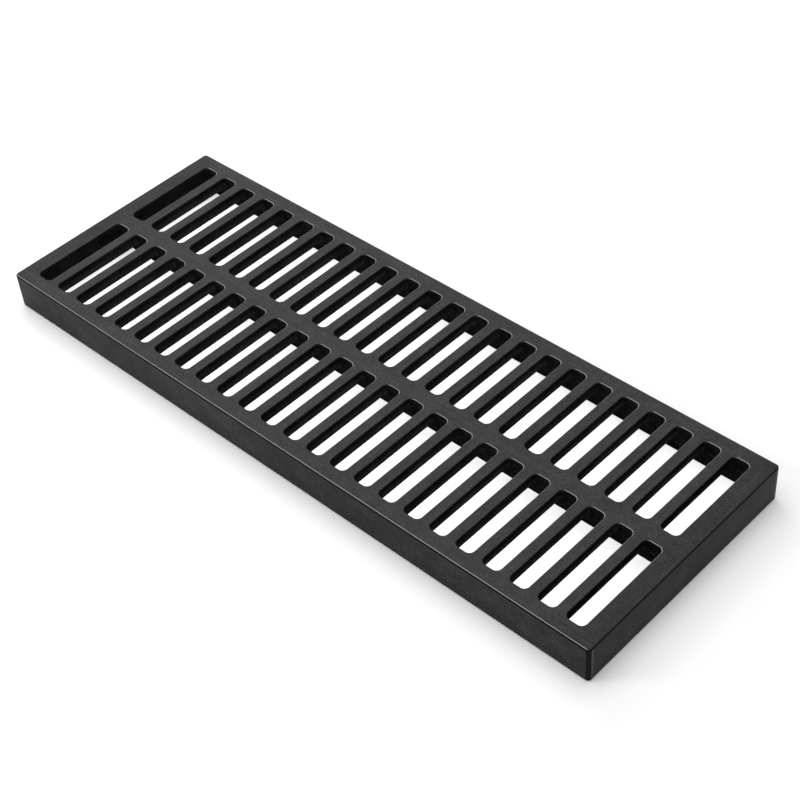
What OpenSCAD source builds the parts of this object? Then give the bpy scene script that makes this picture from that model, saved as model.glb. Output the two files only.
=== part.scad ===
// Trench drain grate: one casting with two rows of drainage slots.
// X runs along the channel, Z is up, and the tread face is on top.

/* [Plate] */
// Length of the grate along the channel
grate_length = 498; // [300:1:1000]
// Width of the grate across the channel
grate_width = 176; // [140:1:260]
// Height of the side and end rails, from the ledge to the tread
grate_height = 27; // [20:0.5:40]
// Radius of the four upright corners
corner_radius = 2.5; // [2:0.5:6]
// Rounding of the outer edges, top and bottom
edge_radius = 1.2; // [0.6:0.1:1.6]

/* [Slots] */
// Width of one slot at the tread
slot_width = 12.4; // [10:0.2:16]
// Width of one bar between two slots, at the tread
bar_width = 7.6; // [6:0.2:14]
// Least width of the plain band at each end
end_band = 12.6; // [10:0.2:30]
// Width of the plain band along each side
side_band = 10.6; // [8:0.2:20]
// Width of the centre rib between the two rows
rib_width = 12; // [10.4:0.2:20]
// Radius of the slot corners
slot_corner_radius = 3.5; // [2:0.5:4.5]
// Bevel of the slot rims at the tread
rim_chamfer = 0.7; // [0.4:0.1:1.2]

/* [Underside] */
// Depth of the bars below the tread
bar_height = 10; // [8:0.5:14]
// Depth of the centre rib below the tread
rib_height = 23; // [15:0.5:24]
// Upright part of the slot walls before the taper starts
wall_land = 2; // [1.5:0.5:4]
// Taper of every inner wall, as width lost per unit of depth
wall_taper = 0.2; // [0.1:0.02:0.2]

/* [Hidden] */
arc_steps = 16;
overshoot = 1;
slot_pitch = slot_width + bar_width;
slot_count = floor((grate_length - 2 * end_band + bar_width) / slot_pitch);
pattern_length = slot_count * slot_pitch - bar_width;
row_width = (grate_width - 2 * side_band - rib_width) / 2;
row_offset = (row_width + rib_width) / 2;
tread_z = grate_height;
bar_floor_z = tread_z - bar_height;
rib_floor_z = tread_z - min(rib_height, grate_height);

// How far an inner wall has drawn back at a depth below the tread
function taper_at(depth) = wall_taper * max(depth - wall_land, 0);

// Upright section of a block with its outer edges rounded
module rounded_section(width, height, radius) {
    difference() {
        translate([-width / 2, 0])
            square([width, height]);
        for (side = [-1, 1], top = [0, 1])
            translate([side * width / 2, top * height])
                corner_waste(radius, side, top);
    }
}

// What an edge rounding takes off a square corner
module corner_waste(radius, side, top) {
    inward_x = -side * radius;
    inward_y = (1 - 2 * top) * radius;
    difference() {
        square(2 * radius, center = true);
        translate([inward_x, inward_y])
            circle(r = radius, $fn = arc_steps);
        translate([2 * inward_x, inward_y])
            square(2 * radius, center = true);
        translate([inward_x, 2 * inward_y])
            square(2 * radius, center = true);
    }
}

// Half of a block's section, for turning about an upright corner axis
module half_section(width, height, radius) {
    intersection() {
        rounded_section(2 * width, height, radius);
        translate([0, -overshoot])
            square([width + overshoot, height + 2 * overshoot]);
    }
}

// Stands a flat section up and runs it along Y
module run_along_y(length) {
    rotate([90, 0, 0])
        linear_extrude(length, center = true)
            children();
}

// Puts a copy of its children on the four corners of a rectangle
module at_corners(length, width) {
    for (x = [-1, 1], y = [-1, 1])
        translate([x * length / 2, y * width / 2, 0])
            children();
}

// Plate with rounded corners and rounded edges
module slab() {
    straight_length = grate_length - 2 * corner_radius;
    straight_width = grate_width - 2 * corner_radius;
    run_along_y(straight_width)
        rounded_section(grate_length, grate_height, edge_radius);
    rotate([0, 0, 90])
        run_along_y(straight_length)
            rounded_section(grate_width, grate_height, edge_radius);
    at_corners(straight_length, straight_width)
        rotate_extrude($fn = 2 * arc_steps)
            half_section(corner_radius, grate_height, edge_radius);
}

// Half section of an opening that flares at the rim and widens with depth
module opening_half(half_width, depth) {
    polygon([
        [0, tread_z - depth],
        [half_width + taper_at(depth), tread_z - depth],
        [half_width, tread_z - wall_land],
        [half_width, tread_z - rim_chamfer],
        [half_width + rim_chamfer + overshoot, tread_z + overshoot],
        [0, tread_z + overshoot]
    ]);
}

// Both halves of that section
module opening_section(width, depth) {
    opening_half(width / 2, depth);
    mirror([1, 0])
        opening_half(width / 2, depth);
}

// Cutter for one slot, with its bevelled rim and tapered walls
module slot_cutter() {
    straight_length = slot_width - 2 * slot_corner_radius;
    straight_width = row_width - 2 * slot_corner_radius;
    run_along_y(straight_width)
        opening_section(slot_width, bar_height);
    rotate([0, 0, 90])
        run_along_y(straight_length)
            opening_section(row_width, bar_height);
    at_corners(straight_length, straight_width)
        rotate_extrude($fn = arc_steps)
            opening_half(slot_corner_radius, bar_height);
}

// Half section of a hollow under the bars, widening from one height down to another
module hollow_half(half_width, top_z, base_z) {
    polygon([
        [0, base_z],
        [half_width + taper_at(tread_z - base_z), base_z],
        [half_width + taper_at(tread_z - top_z), top_z],
        [0, top_z]
    ]);
}

// Both halves of that section
module hollow_section(width, top_z, base_z) {
    hollow_half(width / 2, top_z, base_z);
    mirror([1, 0])
        hollow_half(width / 2, top_z, base_z);
}

// Cutter for a hollow whose walls carry on the taper of the slots
module hollow_cutter(width, top_z, base_z) {
    straight_length = pattern_length - 2 * slot_corner_radius;
    straight_width = width - 2 * slot_corner_radius;
    run_along_y(straight_width)
        hollow_section(pattern_length, top_z, base_z);
    rotate([0, 0, 90])
        run_along_y(straight_length)
            hollow_section(width, top_z, base_z);
    at_corners(straight_length, straight_width)
        rotate_extrude($fn = arc_steps)
            hollow_half(slot_corner_radius, top_z, base_z);
}

// One row: its slots, and the hollow below the bars
module row_cutter() {
    first_slot_x = (slot_width - pattern_length) / 2;
    for (i = [0 : slot_count - 1])
        translate([first_slot_x + i * slot_pitch, 0, 0])
            slot_cutter();
    hollow_cutter(row_width, bar_floor_z, -overshoot);
}

// The whole casting
module grate() {
    color([0.2, 0.2, 0.2])
        difference() {
            slab();
            for (side = [-1, 1])
                translate([0, side * row_offset, 0])
                    row_cutter();
            hollow_cutter(2 * row_offset + row_width, rib_floor_z, -overshoot);
        }
}

grate();
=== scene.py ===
import math

import bmesh
import bpy
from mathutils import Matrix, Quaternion, Vector


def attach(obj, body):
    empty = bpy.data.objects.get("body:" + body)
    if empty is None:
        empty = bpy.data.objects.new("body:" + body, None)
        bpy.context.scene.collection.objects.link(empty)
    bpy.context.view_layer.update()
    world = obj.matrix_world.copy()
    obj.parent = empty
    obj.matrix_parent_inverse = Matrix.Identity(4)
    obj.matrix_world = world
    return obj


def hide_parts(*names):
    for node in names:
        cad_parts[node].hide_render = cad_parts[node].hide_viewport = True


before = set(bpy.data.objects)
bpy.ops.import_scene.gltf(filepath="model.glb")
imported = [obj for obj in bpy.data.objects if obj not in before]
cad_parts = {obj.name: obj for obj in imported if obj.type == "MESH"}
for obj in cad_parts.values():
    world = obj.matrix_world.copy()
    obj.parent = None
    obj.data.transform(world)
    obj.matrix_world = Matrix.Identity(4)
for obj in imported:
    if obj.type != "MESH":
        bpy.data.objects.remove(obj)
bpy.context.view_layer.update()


photoView = {
    "aim": (0.0406, -0.0116, 0.027),  # where the lens axis meets the tread
    "azimuth": 46.94,
    "elevation": 43.62,
    "roll": 5.37,
    "distance": 1.032,
    "lens": 75.77,
    "clipStart": 0.01,
}


def makeCamera(view):
    azimuth = math.radians(view["azimuth"])
    elevation = math.radians(view["elevation"])
    back = Vector((
        math.sin(azimuth) * math.cos(elevation),
        -math.cos(azimuth) * math.cos(elevation),
        math.sin(elevation),
    ))
    bpy.ops.object.camera_add()
    camera = bpy.context.object
    camera.name = "photoCamera"
    camera.data.lens = view["lens"]
    camera.data.clip_start = view["clipStart"]
    camera.location = Vector(view["aim"]) + back * view["distance"]
    camera.rotation_mode = "QUATERNION"
    roll = Quaternion((0, 0, 1), -math.radians(view["roll"]))
    camera.rotation_quaternion = (-back).to_track_quat("-Z", "Y") @ roll
    bpy.context.scene.camera = camera


# where each lamp stands, in metres; all of them look at the middle of the grate
studioLamps = {
    "frontLeftBox": {"place": (-0.9, -1.2, 1.1), "size": 0.6, "watts": 7.5},
    "backLeftBox": {"place": (-1.35, 0.75, 1.15), "size": 1.0, "watts": 6.5},
    "overheadBox": {"place": (-0.1, 0.1, 2.0), "size": 2.2, "watts": 37},
}


def makeLamp(name, values):
    bpy.ops.object.light_add(type="AREA", location=values["place"])
    lamp = bpy.context.object
    lamp.name = name
    lamp.data.size = values["size"]
    lamp.data.energy = values["watts"]
    lamp.rotation_euler = (-Vector(values["place"])).to_track_quat("-Z", "Y").to_euler()


white = (1, 1, 1, 1)
rising = (0.0, 1.0)
falling = (1.0, 0.0)


def feed(tree, socket, value):
    # value is a number, a colour or the socket that carries it
    if isinstance(value, bpy.types.NodeSocket):
        tree.links.new(value, socket)
    else:
        socket.default_value = value


def combine(tree, operation, first, *others):
    # takes the first value together with each of the others, one after another
    for other in others:
        step = tree.nodes.new("ShaderNodeMath")
        step.operation = operation
        feed(tree, step.inputs[0], first)
        feed(tree, step.inputs[1], other)
        first = step.outputs[0]
    return first


def absolute(tree, value):
    return combine(tree, "ABSOLUTE", value, 0)


def vectorStep(tree, operation, vector):
    step = tree.nodes.new("ShaderNodeVectorMath")
    step.operation = operation
    tree.links.new(vector, step.inputs[0])
    return step


def separate(tree, vector):
    parts = tree.nodes.new("ShaderNodeSeparateXYZ")
    tree.links.new(vector, parts.inputs[0])
    return parts.outputs


def ramp(tree, value, over, ends=rising):
    # goes smoothly from one end to the other while value goes over the range
    step = tree.nodes.new("ShaderNodeMapRange")
    step.interpolation_type = "SMOOTHSTEP"
    step.inputs["From Min"].default_value, step.inputs["From Max"].default_value = over
    step.inputs["To Min"].default_value, step.inputs["To Max"].default_value = ends
    tree.links.new(value, step.inputs["Value"])
    return step.outputs["Result"]


def lookedAt(tree):
    # 1 for what the camera sees, straight or mirrored, and 0 for the light that bounces
    rays = tree.nodes.new("ShaderNodeLightPath").outputs
    mirrored = combine(tree, "MAXIMUM", rays["Is Glossy Ray"], rays["Is Transmission Ray"])
    return combine(tree, "MAXIMUM", rays["Is Camera Ray"], mirrored)


def newMaterial(name):
    material = bpy.data.materials.new(name)
    material.use_nodes = True
    return material, material.node_tree, material.node_tree.nodes["Principled BSDF"]


whiteGround = {
    "size": 10,
    "below": 0.0002,  # a hair under the grate, so that no two faces share a plane
    "paper": (0.93, 0.93, 0.93, 1),
    "roughness": 0.9,
    "room": 0.13,  # strength of the even light from all round
    "glow": 0.15,  # lifts the paper to white where it is looked at
    "farGlow": 1.0,  # keeps it white out to the horizon, past the lamps' reach
    "farFrom": (0.55, 1.4),  # how far from the middle that sets in
    "glowUnder": 0.6,  # and lifts it more under the grate, where little light falls
    "covered": (0.249, 0.088, 1),  # half of the grate's length and width
    "coveredEdge": (0.92, 1.0),  # the share of those over which that fades
}


def makeRoom(values):
    world = bpy.data.worlds.new("studioRoom")
    world.use_nodes = True
    tree = world.node_tree
    background = tree.nodes["Background"]
    background.inputs["Color"].default_value = white
    strength = tree.nodes.new("ShaderNodeMapRange")
    strength.inputs["To Min"].default_value = values["room"]
    strength.inputs["To Max"].default_value = 1.0
    tree.links.new(lookedAt(tree), strength.inputs["Value"])
    tree.links.new(strength.outputs["Result"], background.inputs["Strength"])
    bpy.context.scene.world = world


def groundGlow(tree, values):
    place = tree.nodes.new("ShaderNodeTexCoord").outputs["Object"]
    reach = vectorStep(tree, "DIVIDE", place)  # 1 on the grate's outline, less inside it
    reach.inputs[1].default_value = values["covered"]
    sides = separate(tree, vectorStep(tree, "ABSOLUTE", reach.outputs["Vector"]).outputs["Vector"])
    furthest = combine(tree, "MAXIMUM", sides["X"], sides["Y"])
    under = ramp(tree, furthest, values["coveredEdge"], (values["glowUnder"], 0.0))
    cameraRay = tree.nodes.new("ShaderNodeLightPath").outputs["Is Camera Ray"]
    under = combine(tree, "MULTIPLY", under, cameraRay)
    away = vectorStep(tree, "LENGTH", place).outputs["Value"]
    ends = (values["glow"], values["glow"] + values["farGlow"])
    glow = combine(tree, "MULTIPLY", lookedAt(tree), ramp(tree, away, values["farFrom"], ends))
    return combine(tree, "ADD", glow, under)


def makeGround(values):
    bpy.ops.object.select_all(action="DESELECT")
    bpy.ops.mesh.primitive_plane_add(size=values["size"], location=(0, 0, -values["below"]))
    ground = bpy.context.object
    ground.name = "whiteGround"
    material, tree, paper = newMaterial("studioPaper")
    paper.inputs["Base Color"].default_value = values["paper"]
    paper.inputs["Roughness"].default_value = values["roughness"]
    paper.inputs["Emission Color"].default_value = white
    tree.links.new(groundGlow(tree, values), paper.inputs["Emission Strength"])
    # clear from below, so that the underside can be looked at through it
    clear = tree.nodes.new("ShaderNodeBsdfTransparent")
    fromBelow = tree.nodes.new("ShaderNodeNewGeometry").outputs["Backfacing"]
    oneSided = tree.nodes.new("ShaderNodeMixShader")
    tree.links.new(fromBelow, oneSided.inputs["Fac"])
    tree.links.new(paper.outputs["BSDF"], oneSided.inputs[1])
    tree.links.new(clear.outputs["BSDF"], oneSided.inputs[2])
    tree.links.new(oneSided.outputs["Shader"], tree.nodes["Material Output"].inputs["Surface"])
    ground.data.materials.append(material)


bpy.context.scene.view_settings.view_transform = "Standard"
makeCamera(photoView)
for name, values in studioLamps.items():
    makeLamp(name, values)
makeRoom(whiteGround)
makeGround(whiteGround)
print("camera, lamps and ground placed")


# the casting, in metres; the box and the slots are the CAD's own
casting = {
    "length": 0.498,
    "width": 0.176,
    "height": 0.027,
    "cornerRadius": 0.0025,
    "cornerSteps": 8,
    "edgeRadius": 0.0012,
    "edgeSteps": 4,
    "slotWidth": 0.0124,
    "slotLength": 0.0714,
    "slotPitch": 0.020,
    "slotCount": 24,
    "rowOffset": 0.0417,
    "slotCorner": 0.0035,
    "rimRadius": 0.0008,
    "barDepth": 0.010,
    "ribDepth": 0.023,
    "wallLand": 0.002,
    "wallTaper": 0.2,
    "filletUnder": 0.002,
    "underRadius": 0.0003,
    "underSteps": 2,
}

# how the cutters and the clean-up work, in metres and degrees
meshWork = {
    "past": 0.002,  # a cutter runs this far past a face that it opens
    "layer": 0.001,  # the first layer of a hollow's cutter, and the last of a slot's
    "steep": 0.9,  # the share along Z from which an edge is upright, or a face looks down
    "levelWithin": 0.00005,
    "mergeWithin": 0.00003,
    "flatWithin": 0.3,
    "rimAngle": 60,  # tread edges that are sharper than this are slot rims
    "softAngle": 45,  # what is sharper than this after them gets the under radius
    "flatWeight": 100,
    "sortFrom": (0.41, 0.13, 0.057),  # an odd place, with no two points equally far
}


def addBlock(name, low, high):
    bpy.ops.object.select_all(action="DESELECT")
    middle = [(a + b) / 2 for a, b in zip(low, high)]
    size = [b - a for a, b in zip(low, high)]
    bpy.ops.mesh.primitive_cube_add(size=1, location=middle, scale=size)
    block = bpy.context.object
    block.name = name
    bpy.ops.object.transform_apply(location=True, rotation=True, scale=True)
    return block


def startEditing(block, mode):
    bpy.ops.object.select_all(action="DESELECT")
    bpy.context.view_layer.objects.active = block
    block.select_set(True)
    bpy.ops.object.mode_set(mode="EDIT")
    bpy.ops.mesh.select_mode(type=mode)
    bpy.ops.mesh.select_all(action="DESELECT")
    return bmesh.from_edit_mesh(block.data)


def pick(block, parts, test):
    for part in parts:
        part.select_set(test(part))
    bmesh.update_edit_mesh(block.data)


def isUpright(edge):
    run = edge.verts[0].co - edge.verts[1].co
    return abs(run.z) > meshWork["steep"] * run.length


def isAt(edge, level):
    return min(vert.co.z for vert in edge.verts) > level - meshWork["levelWithin"]


def isSharp(edge, least):
    return len(edge.link_faces) == 2 and edge.calc_face_angle() > math.radians(least)


def roundEdges(block, radius, steps, test, clamp=False):
    mesh = startEditing(block, "EDGE")
    pick(block, mesh.edges, test)
    bpy.ops.mesh.bevel(offset=radius, segments=steps, affect="EDGES", clamp_overlap=clamp)
    bpy.ops.object.mode_set(mode="OBJECT")


def drawDown(block, depth, widen):
    # pulls the bottom face further down, and widens it by the same amount all round
    mesh = startEditing(block, "FACE")
    pick(block, mesh.faces, lambda face: face.normal.z < -meshWork["steep"])
    places = [vert.co for vert in mesh.verts]
    low = [min(p[axis] for p in places) for axis in (0, 1)]
    high = [max(p[axis] for p in places) for axis in (0, 1)]
    grow = [1 + 2 * widen / (b - a) for a, b in zip(low, high)]
    middle = [(a + b) / 2 for a, b in zip(low, high)]
    bpy.ops.mesh.extrude_region_move(TRANSFORM_OT_translate={"value": (0, 0, -depth)})
    bpy.ops.transform.resize(value=(*grow, 1), center_override=(*middle, 0))
    bpy.ops.object.mode_set(mode="OBJECT")


def cutAway(block, cutter):
    bpy.ops.object.select_all(action="DESELECT")
    bpy.context.view_layer.objects.active = block
    block.select_set(True)
    cut = block.modifiers.new("cut", "BOOLEAN")
    cut.operation = "DIFFERENCE"
    cut.solver = "EXACT"
    cut.object = cutter
    bpy.ops.object.modifier_apply(modifier=cut.name)
    bpy.data.objects.remove(cutter, do_unlink=True)


def taperAt(depth):
    return casting["wallTaper"] * max(depth - casting["wallLand"], 0)


def makeSlab(c):
    half = (c["length"] / 2, c["width"] / 2)
    slab = addBlock("casting", (-half[0], -half[1], 0), (half[0], half[1], c["height"]))
    roundEdges(slab, c["cornerRadius"], c["cornerSteps"], isUpright)
    roundEdges(slab, c["edgeRadius"], c["edgeSteps"], lambda edge: not isUpright(edge))
    return slab


def makeSlotCutter(c, x, y):
    # an upright land at the tread, then walls that draw back down to the rails' own walls
    half = (c["slotWidth"] / 2, c["slotLength"] / 2)
    low = (x - half[0], y - half[1], c["height"] - c["wallLand"])
    high = (x + half[0], y + half[1], c["height"] + meshWork["past"])
    cutter = addBlock("slotCutter", low, high)
    roundEdges(cutter, c["slotCorner"], c["cornerSteps"], isUpright)
    reach = c["barDepth"] + c["filletUnder"]
    drawDown(cutter, reach - c["wallLand"], taperAt(reach))
    drawDown(cutter, meshWork["layer"], -meshWork["layer"])
    return cutter


def makeSlotField(c):
    first = -c["slotPitch"] * (c["slotCount"] - 1) / 2
    field = makeSlotCutter(c, first, -c["rowOffset"])
    bpy.ops.object.select_all(action="DESELECT")
    bpy.context.view_layer.objects.active = field
    spots = [(column, row) for row in (0, 1) for column in range(c["slotCount"])]
    for column, row in spots[1:]:
        copy = field.copy()
        copy.data = field.data.copy()
        copy.name = "slotCopy"
        copy.location = (column * c["slotPitch"], row * 2 * c["rowOffset"], 0)
        bpy.context.collection.objects.link(copy)
        copy.select_set(True)
    field.select_set(True)
    bpy.ops.object.transform_apply(location=True, rotation=True, scale=True)
    bpy.ops.object.join()
    return field


def makeHollowCutter(c, y, across, topDepth, bottomDepth):
    # its walls carry on the taper of the slots
    start = taperAt(topDepth)
    along = c["slotPitch"] * (c["slotCount"] - 1) / 2 + c["slotWidth"] / 2 + start
    half = across / 2 + start
    top = c["height"] - topDepth
    low = (-along, y - half, top - meshWork["layer"])
    cutter = addBlock("hollowCutter", low, (along, y + half, top))
    roundEdges(cutter, c["slotCorner"] + start, c["cornerSteps"], isUpright)
    drawDown(cutter, bottomDepth - topDepth - meshWork["layer"], taperAt(bottomDepth) - start)
    return cutter


def cutHollowsAndSlots(slab, c):
    bottom = c["height"] + meshWork["past"]
    ceiling = c["height"] - c["barDepth"]
    for side in (-1, 1):
        hollow = makeHollowCutter(c, side * c["rowOffset"], c["slotLength"], c["barDepth"], bottom)
        roundEdges(hollow, c["filletUnder"], c["edgeSteps"], lambda edge: isAt(edge, ceiling))
        cutAway(slab, hollow)
    whole = 2 * c["rowOffset"] + c["slotLength"]
    cutAway(slab, makeHollowCutter(c, 0, whole, c["ribDepth"], bottom))
    cutAway(slab, makeSlotField(c))


def cleanUp(slab):
    # the cuts leave points and faces in an order that varies, so they are sorted first
    bpy.context.scene.cursor.location = meshWork["sortFrom"]
    startEditing(slab, "VERT")
    bpy.ops.mesh.select_all(action="SELECT")
    bpy.ops.mesh.sort_elements(type="CURSOR_DISTANCE", elements={"VERT", "EDGE", "FACE"})
    bpy.ops.mesh.remove_doubles(threshold=meshWork["mergeWithin"])
    bpy.ops.mesh.dissolve_limited(angle_limit=math.radians(meshWork["flatWithin"]))
    bpy.ops.mesh.normals_make_consistent(inside=False)
    bpy.ops.object.mode_set(mode="OBJECT")


def softenEdges(slab, c):
    # what is still sharp is softened, and then the flat faces keep their own normals
    bpy.ops.object.select_all(action="DESELECT")
    slab.select_set(True)
    bpy.context.view_layer.objects.active = slab
    bpy.ops.object.shade_smooth()
    soft = slab.modifiers.new("castEdges", "BEVEL")
    soft.limit_method = "ANGLE"
    soft.angle_limit = math.radians(meshWork["softAngle"])
    soft.width = c["underRadius"]
    soft.segments = c["underSteps"]
    bpy.ops.object.modifier_apply(modifier=soft.name)
    flat = slab.modifiers.new("flatFaces", "WEIGHTED_NORMAL")
    flat.mode = "FACE_AREA"
    flat.weight = meshWork["flatWeight"]
    bpy.ops.object.modifier_apply(modifier=flat.name)


def makeCasting(c):
    slab = makeSlab(c)
    cutHollowsAndSlots(slab, c)
    print("slab cut, faces", len(slab.data.polygons))
    cleanUp(slab)
    print("slab cleaned, faces", len(slab.data.polygons))

    # the slot rims are rounded like the outer edges, only finer
    def isRim(edge):
        return isAt(edge, c["height"]) and isSharp(edge, meshWork["rimAngle"])

    roundEdges(slab, c["rimRadius"], c["edgeSteps"], isRim, clamp=True)
    softenEdges(slab, c)
    print("edges rounded, faces", len(slab.data.polygons))
    return slab


blackCoating = {
    "side": (0.026, 0.0258, 0.0254, 1),
    "endPaintedShade": 0.4,  # how far the top of the end faces goes dark with painted shade
    # painted shade inside the slots and hollows
    "slot": (0.007, 0.007, 0.0069, 1),
    "slotLow": (0.007, 0.007, 0.0069, 1),
    # painted shade, near black, on the rounding of the outer edges, in the upright corners and on
    # the top of the end faces
    "paintedShade": (0.002, 0.002, 0.002, 1),
    # painted light: the tread is painted paler than the sides, and less so over the end rails
    "tread": (0.0445, 0.0447, 0.0445, 1),
    "treadEnds": (0.035, 0.0352, 0.0348, 1),
    # painted highlight beside the upright corners
    "cornerPaintedHighlight": (0.065, 0.065, 0.064, 1),
    # painted highlight on the rims
    "rim": (0.38, 0.38, 0.375, 1),
    "highlightFacing": (-0.55, -0.83, 0.0),  # the rims that face this way, towards the front left lamp, get a painted highlight
    "grain": 1800,  # bumps to the metre
    "grainShade": (0.66, 1.34),
    "clouds": 80,
    "brushing": (22, 1000),  # along and across the strokes
    "softShade": (0.92, 1.08),  # of the clouds and the strokes
    "contrast": (2.2, 1.0),  # stronger on the sides than on the tread
    "scratch": (0.085, 0.086, 0.084, 1),
    "scratchFrom": (0.67, 0.75),  # the strokes that are this deep show as scratches
    "scratchShare": 0.4,
    "gloss": 0.05,
    "roughness": (0.36, 0.52),
    "bump": (0.3, 0.0001),  # strength and distance
}

# the walls in the slots and hollows are dark with painted shade, paler lower down with painted
# bounce light, and dull
slotCoating = {
    "slot": (0.018, 0.018, 0.0178, 1),
    "slotLow": (0.0445, 0.0447, 0.0445, 1),  # painted bounce light on the bars' long walls, lower down
    "gloss": 0.0,
}

# where the coating and its painted light and shade change, in metres from the middle, or up from
# the foot of the rails
zones = {
    "slotsX": (0.2455, 0.2465),  # the slots and hollows lie inside these two
    "slotsY": (0.0845, 0.0855),
    "endWall": (0.2355, 0.2362),  # past these stand the inner walls of the end rails
    "wallLow": (0.0205, 0.0250),  # below these the bars' long walls are paler, with painted bounce light
    "endUp": (0.008, 0.026),  # over these the end faces darken towards the tread with painted shade
    "treadEnds": (0.222, 0.244),
    "centreRib": (0.0060, 0.0066),
    "sideBands": (0.0768, 0.0774),
    "topEdge": (0.0252, 0.0256),
    "lowEdge": (0.0014, 0.0018),
    "cornerX": (0.2466, 0.2471),  # the upright corners, dark with painted shade
    "cornerY": (0.0856, 0.0860),
    "lineX": (0.2470, 0.2480),  # the painted highlight line beside them
    "lineY": (0.0838, 0.0842),
}

# how far a face is turned, as the share of its normal along X, Z or the rubbed direction
turns = {
    "underside": (-0.8, -0.5),
    "longWall": (0.5, 0.9),
    "endFace": (0.90, 0.97),
    "tread": (0.80, 0.98),
    "contrast": (0.2, 0.9),
    "scratch": (0.90, 0.98),
    "upright": (0.25, 0.45),
    "edgeBelowTread": (0.72, 0.80),
    "edgeAboveBase": (-0.97, -0.90),
    "towardsHighlight": (0.15, 0.40),
    "slotRim": (0.60, 0.78),
    "outerRim": (0.76, 0.84),
    "wall": 0.6,
}

# the part of a noise's values that is used, for shades and for roughness
noiseSpread = (0.35, 0.65)
noiseWide = (0.3, 0.7)


def blend(tree, share, low, high):
    mix = tree.nodes.new("ShaderNodeMix")
    mix.data_type = "RGBA"
    feed(tree, mix.inputs["A"], low)
    feed(tree, mix.inputs["B"], high)
    tree.links.new(share, mix.inputs["Factor"])
    return mix.outputs["Result"]


def noise(tree, place, scale, stretch=None, detail=2):
    spots = tree.nodes.new("ShaderNodeTexNoise")
    spots.inputs["Scale"].default_value = scale
    spots.inputs["Detail"].default_value = detail
    if stretch:
        pull = tree.nodes.new("ShaderNodeMapping")
        pull.inputs["Scale"].default_value = stretch
        tree.links.new(place, pull.inputs["Vector"])
        place = pull.outputs["Vector"]
    tree.links.new(place, spots.inputs["Vector"])
    return spots.outputs["Fac"]


def readSurface(tree):
    # where each point lies and how it faces, with both sides of the grate alike
    place = tree.nodes.new("ShaderNodeTexCoord").outputs["Object"]
    normal = tree.nodes.new("ShaderNodeNewGeometry").outputs["Normal"]
    spot = separate(tree, place)
    facing = separate(tree, normal)
    at = {
        "place": place,
        "normal": normal,
        "x": absolute(tree, spot["X"]),
        "y": absolute(tree, spot["Y"]),
        "z": spot["Z"],
        "facingX": absolute(tree, facing["X"]),
        "facingZ": absolute(tree, facing["Z"]),
        "upward": facing["Z"],
    }
    at["slots"] = combine(
        tree, "MULTIPLY",
        ramp(tree, at["x"], zones["slotsX"], falling),
        ramp(tree, at["y"], zones["slotsY"], falling),
    )
    at["outside"] = combine(tree, "SUBTRACT", 1.0, at["slots"])
    return at


def baseTint(tree, at, values):
    # the tread is painted paler than the sides, as painted light on the top, and the slots are
    # darkest, with painted shade
    walls = combine(tree, "MULTIPLY", at["slots"], ramp(tree, at["upward"], turns["underside"]))
    # painted bounce light: the bars' long walls are paler lower down
    low = combine(
        tree, "MULTIPLY",
        ramp(tree, at["facingX"], turns["longWall"]),
        ramp(tree, at["z"], zones["wallLow"], falling),
        ramp(tree, at["x"], zones["endWall"], falling),
    )
    slot = blend(tree, low, values["slot"], values["slotLow"])
    # painted shade, darkening the end faces towards the top
    ends = combine(
        tree, "MULTIPLY",
        ramp(tree, at["facingX"], turns["endFace"]),
        ramp(tree, at["z"], zones["endUp"], (0.0, values["endPaintedShade"])),
    )
    side = blend(tree, ends, values["side"], values["paintedShade"])
    upright = blend(tree, walls, side, slot)
    towardsEnds = ramp(tree, at["x"], zones["treadEnds"])
    tread = blend(tree, towardsEnds, values["tread"], values["treadEnds"])
    return blend(tree, ramp(tree, at["upward"], turns["tread"]), upright, tread)


def addGrain(tree, at, values, grain, tint):
    # fine grain, soft clouds, and strokes along the rib and the side bands and across the rest
    clouds = noise(tree, at["place"], values["clouds"])
    far, near = values["brushing"]
    strokesX = noise(tree, at["place"], 1, (far, near, far))
    strokesY = noise(tree, at["place"], 1, (near, far, far))
    lengthwise = combine(
        tree, "MAXIMUM",
        ramp(tree, at["y"], zones["centreRib"], falling),
        ramp(tree, at["y"], zones["sideBands"]),
    )
    strokes = blend(tree, lengthwise, strokesY, strokesX)
    shade = combine(
        tree, "MULTIPLY",
        ramp(tree, grain, noiseSpread, values["grainShade"]),
        ramp(tree, clouds, noiseSpread, values["softShade"]),
        ramp(tree, strokes, noiseSpread, values["softShade"]),
    )
    contrast = ramp(tree, at["upward"], turns["contrast"], values["contrast"])
    grained = vectorStep(tree, "SCALE", tint)
    tree.links.new(combine(tree, "POWER", shade, contrast), grained.inputs["Scale"])
    scratches = combine(
        tree, "MULTIPLY",
        ramp(tree, strokes, values["scratchFrom"], (0.0, values["scratchShare"])),
        ramp(tree, at["upward"], turns["scratch"]),
    )
    return blend(tree, scratches, grained.outputs["Vector"], values["scratch"])


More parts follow.
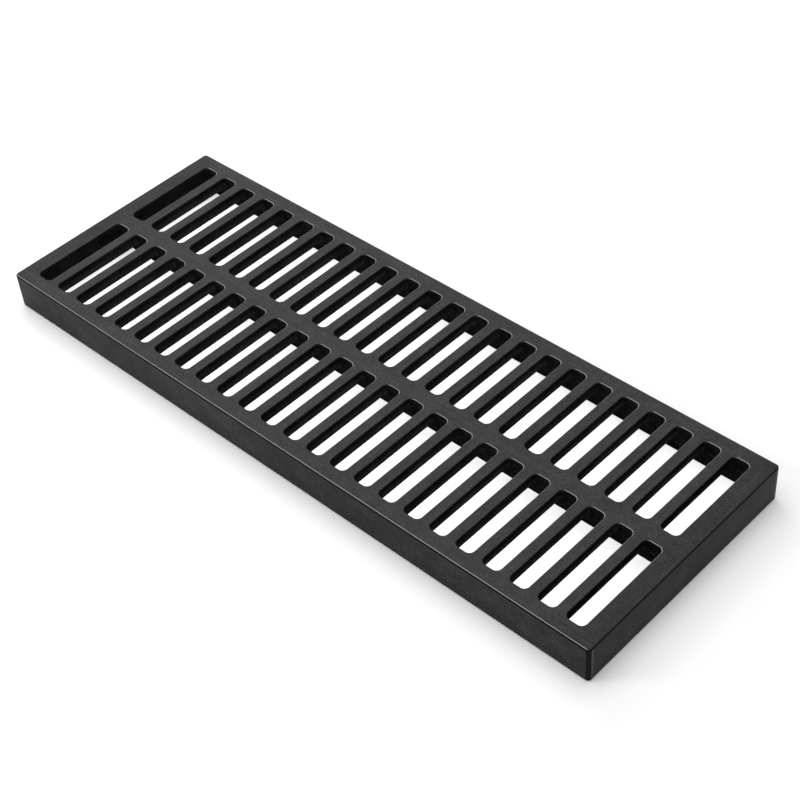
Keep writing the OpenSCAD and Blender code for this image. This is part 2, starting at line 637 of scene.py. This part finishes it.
def addEdges(tree, at, values, tint):
    # outer edges: painted shade where they round over, and on the upright corners a band of
    # painted shade with a painted highlight line beside it
    level = combine(
        tree, "MAXIMUM",
        ramp(tree, at["z"], zones["topEdge"]),
        ramp(tree, at["z"], zones["lowEdge"], falling),
    )
    level = combine(
        tree, "MULTIPLY", level,
        ramp(tree, at["upward"], turns["edgeBelowTread"], falling),
        ramp(tree, at["upward"], turns["edgeAboveBase"]),
        at["outside"],
    )
    facingOut = ramp(tree, at["facingZ"], turns["upright"], falling)
    upright = combine(tree, "MULTIPLY", at["outside"], facingOut)
    corner = combine(
        tree, "MULTIPLY",
        ramp(tree, at["x"], zones["cornerX"]),
        ramp(tree, at["y"], zones["cornerY"]),
        upright,
    )
    line = combine(
        tree, "MULTIPLY",
        ramp(tree, at["y"], zones["lineY"]),
        ramp(tree, at["y"], zones["cornerY"], falling),
        upright,
        ramp(tree, at["x"], zones["lineX"]),
    )
    tint = blend(tree, line, tint, values["cornerPaintedHighlight"])
    return blend(tree, combine(tree, "MAXIMUM", level, corner), tint, values["paintedShade"])


def paintRimHighlights(tree, at, values, tint):
    # painted highlight on the slot rims and the outer rims that face the front left lamp
    towards = vectorStep(tree, "DOT_PRODUCT", at["normal"])
    towards.inputs[1].default_value = values["highlightFacing"]
    towardsHighlight = ramp(tree, towards.outputs["Value"], turns["towardsHighlight"])
    slotRims = combine(tree, "MULTIPLY", at["slots"], ramp(tree, at["upward"], turns["slotRim"]))
    outer = ramp(tree, at["upward"], turns["outerRim"])
    outerRims = combine(tree, "MULTIPLY", at["outside"], outer)
    rims = combine(tree, "MULTIPLY", combine(tree, "ADD", slotRims, outerRims), towardsHighlight)
    return blend(tree, rims, tint, values["rim"])


def makeCoating(name, values):
    material, tree, shader = newMaterial(name)
    at = readSurface(tree)
    grain = noise(tree, at["place"], values["grain"])
    tint = baseTint(tree, at, values)
    tint = addGrain(tree, at, values, grain, tint)
    tint = addEdges(tree, at, values, tint)
    tint = paintRimHighlights(tree, at, values, tint)
    tree.links.new(tint, shader.inputs["Base Color"])
    tree.links.new(ramp(tree, grain, noiseWide, values["roughness"]), shader.inputs["Roughness"])
    shader.inputs["Specular IOR Level"].default_value = values["gloss"]
    bump = tree.nodes.new("ShaderNodeBump")
    bump.inputs["Strength"].default_value, bump.inputs["Distance"].default_value = values["bump"]
    tree.links.new(grain, bump.inputs["Height"])
    tree.links.new(bump.outputs["Normal"], shader.inputs["Normal"])
    return material


def coatSlots(block):
    mesh = startEditing(block, "FACE")

    def isWall(face):
        middle = face.calc_center_median()
        inside = abs(middle.x) < zones["slotsX"][0] and abs(middle.y) < zones["slotsY"][0]
        return inside and abs(face.normal.z) < turns["wall"]

    pick(block, mesh.faces, isWall)
    block.active_material_index = 1  # the duller one of the two
    bpy.ops.object.material_slot_assign()
    bpy.ops.object.mode_set(mode="OBJECT")


grate = makeCasting(casting)
grate.data.materials.append(makeCoating("blackCoating", blackCoating))
grate.data.materials.append(makeCoating("slotCoating", dict(blackCoating, **slotCoating)))
coatSlots(grate)
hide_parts("grate")
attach(grate, "root")
print("casting finished")
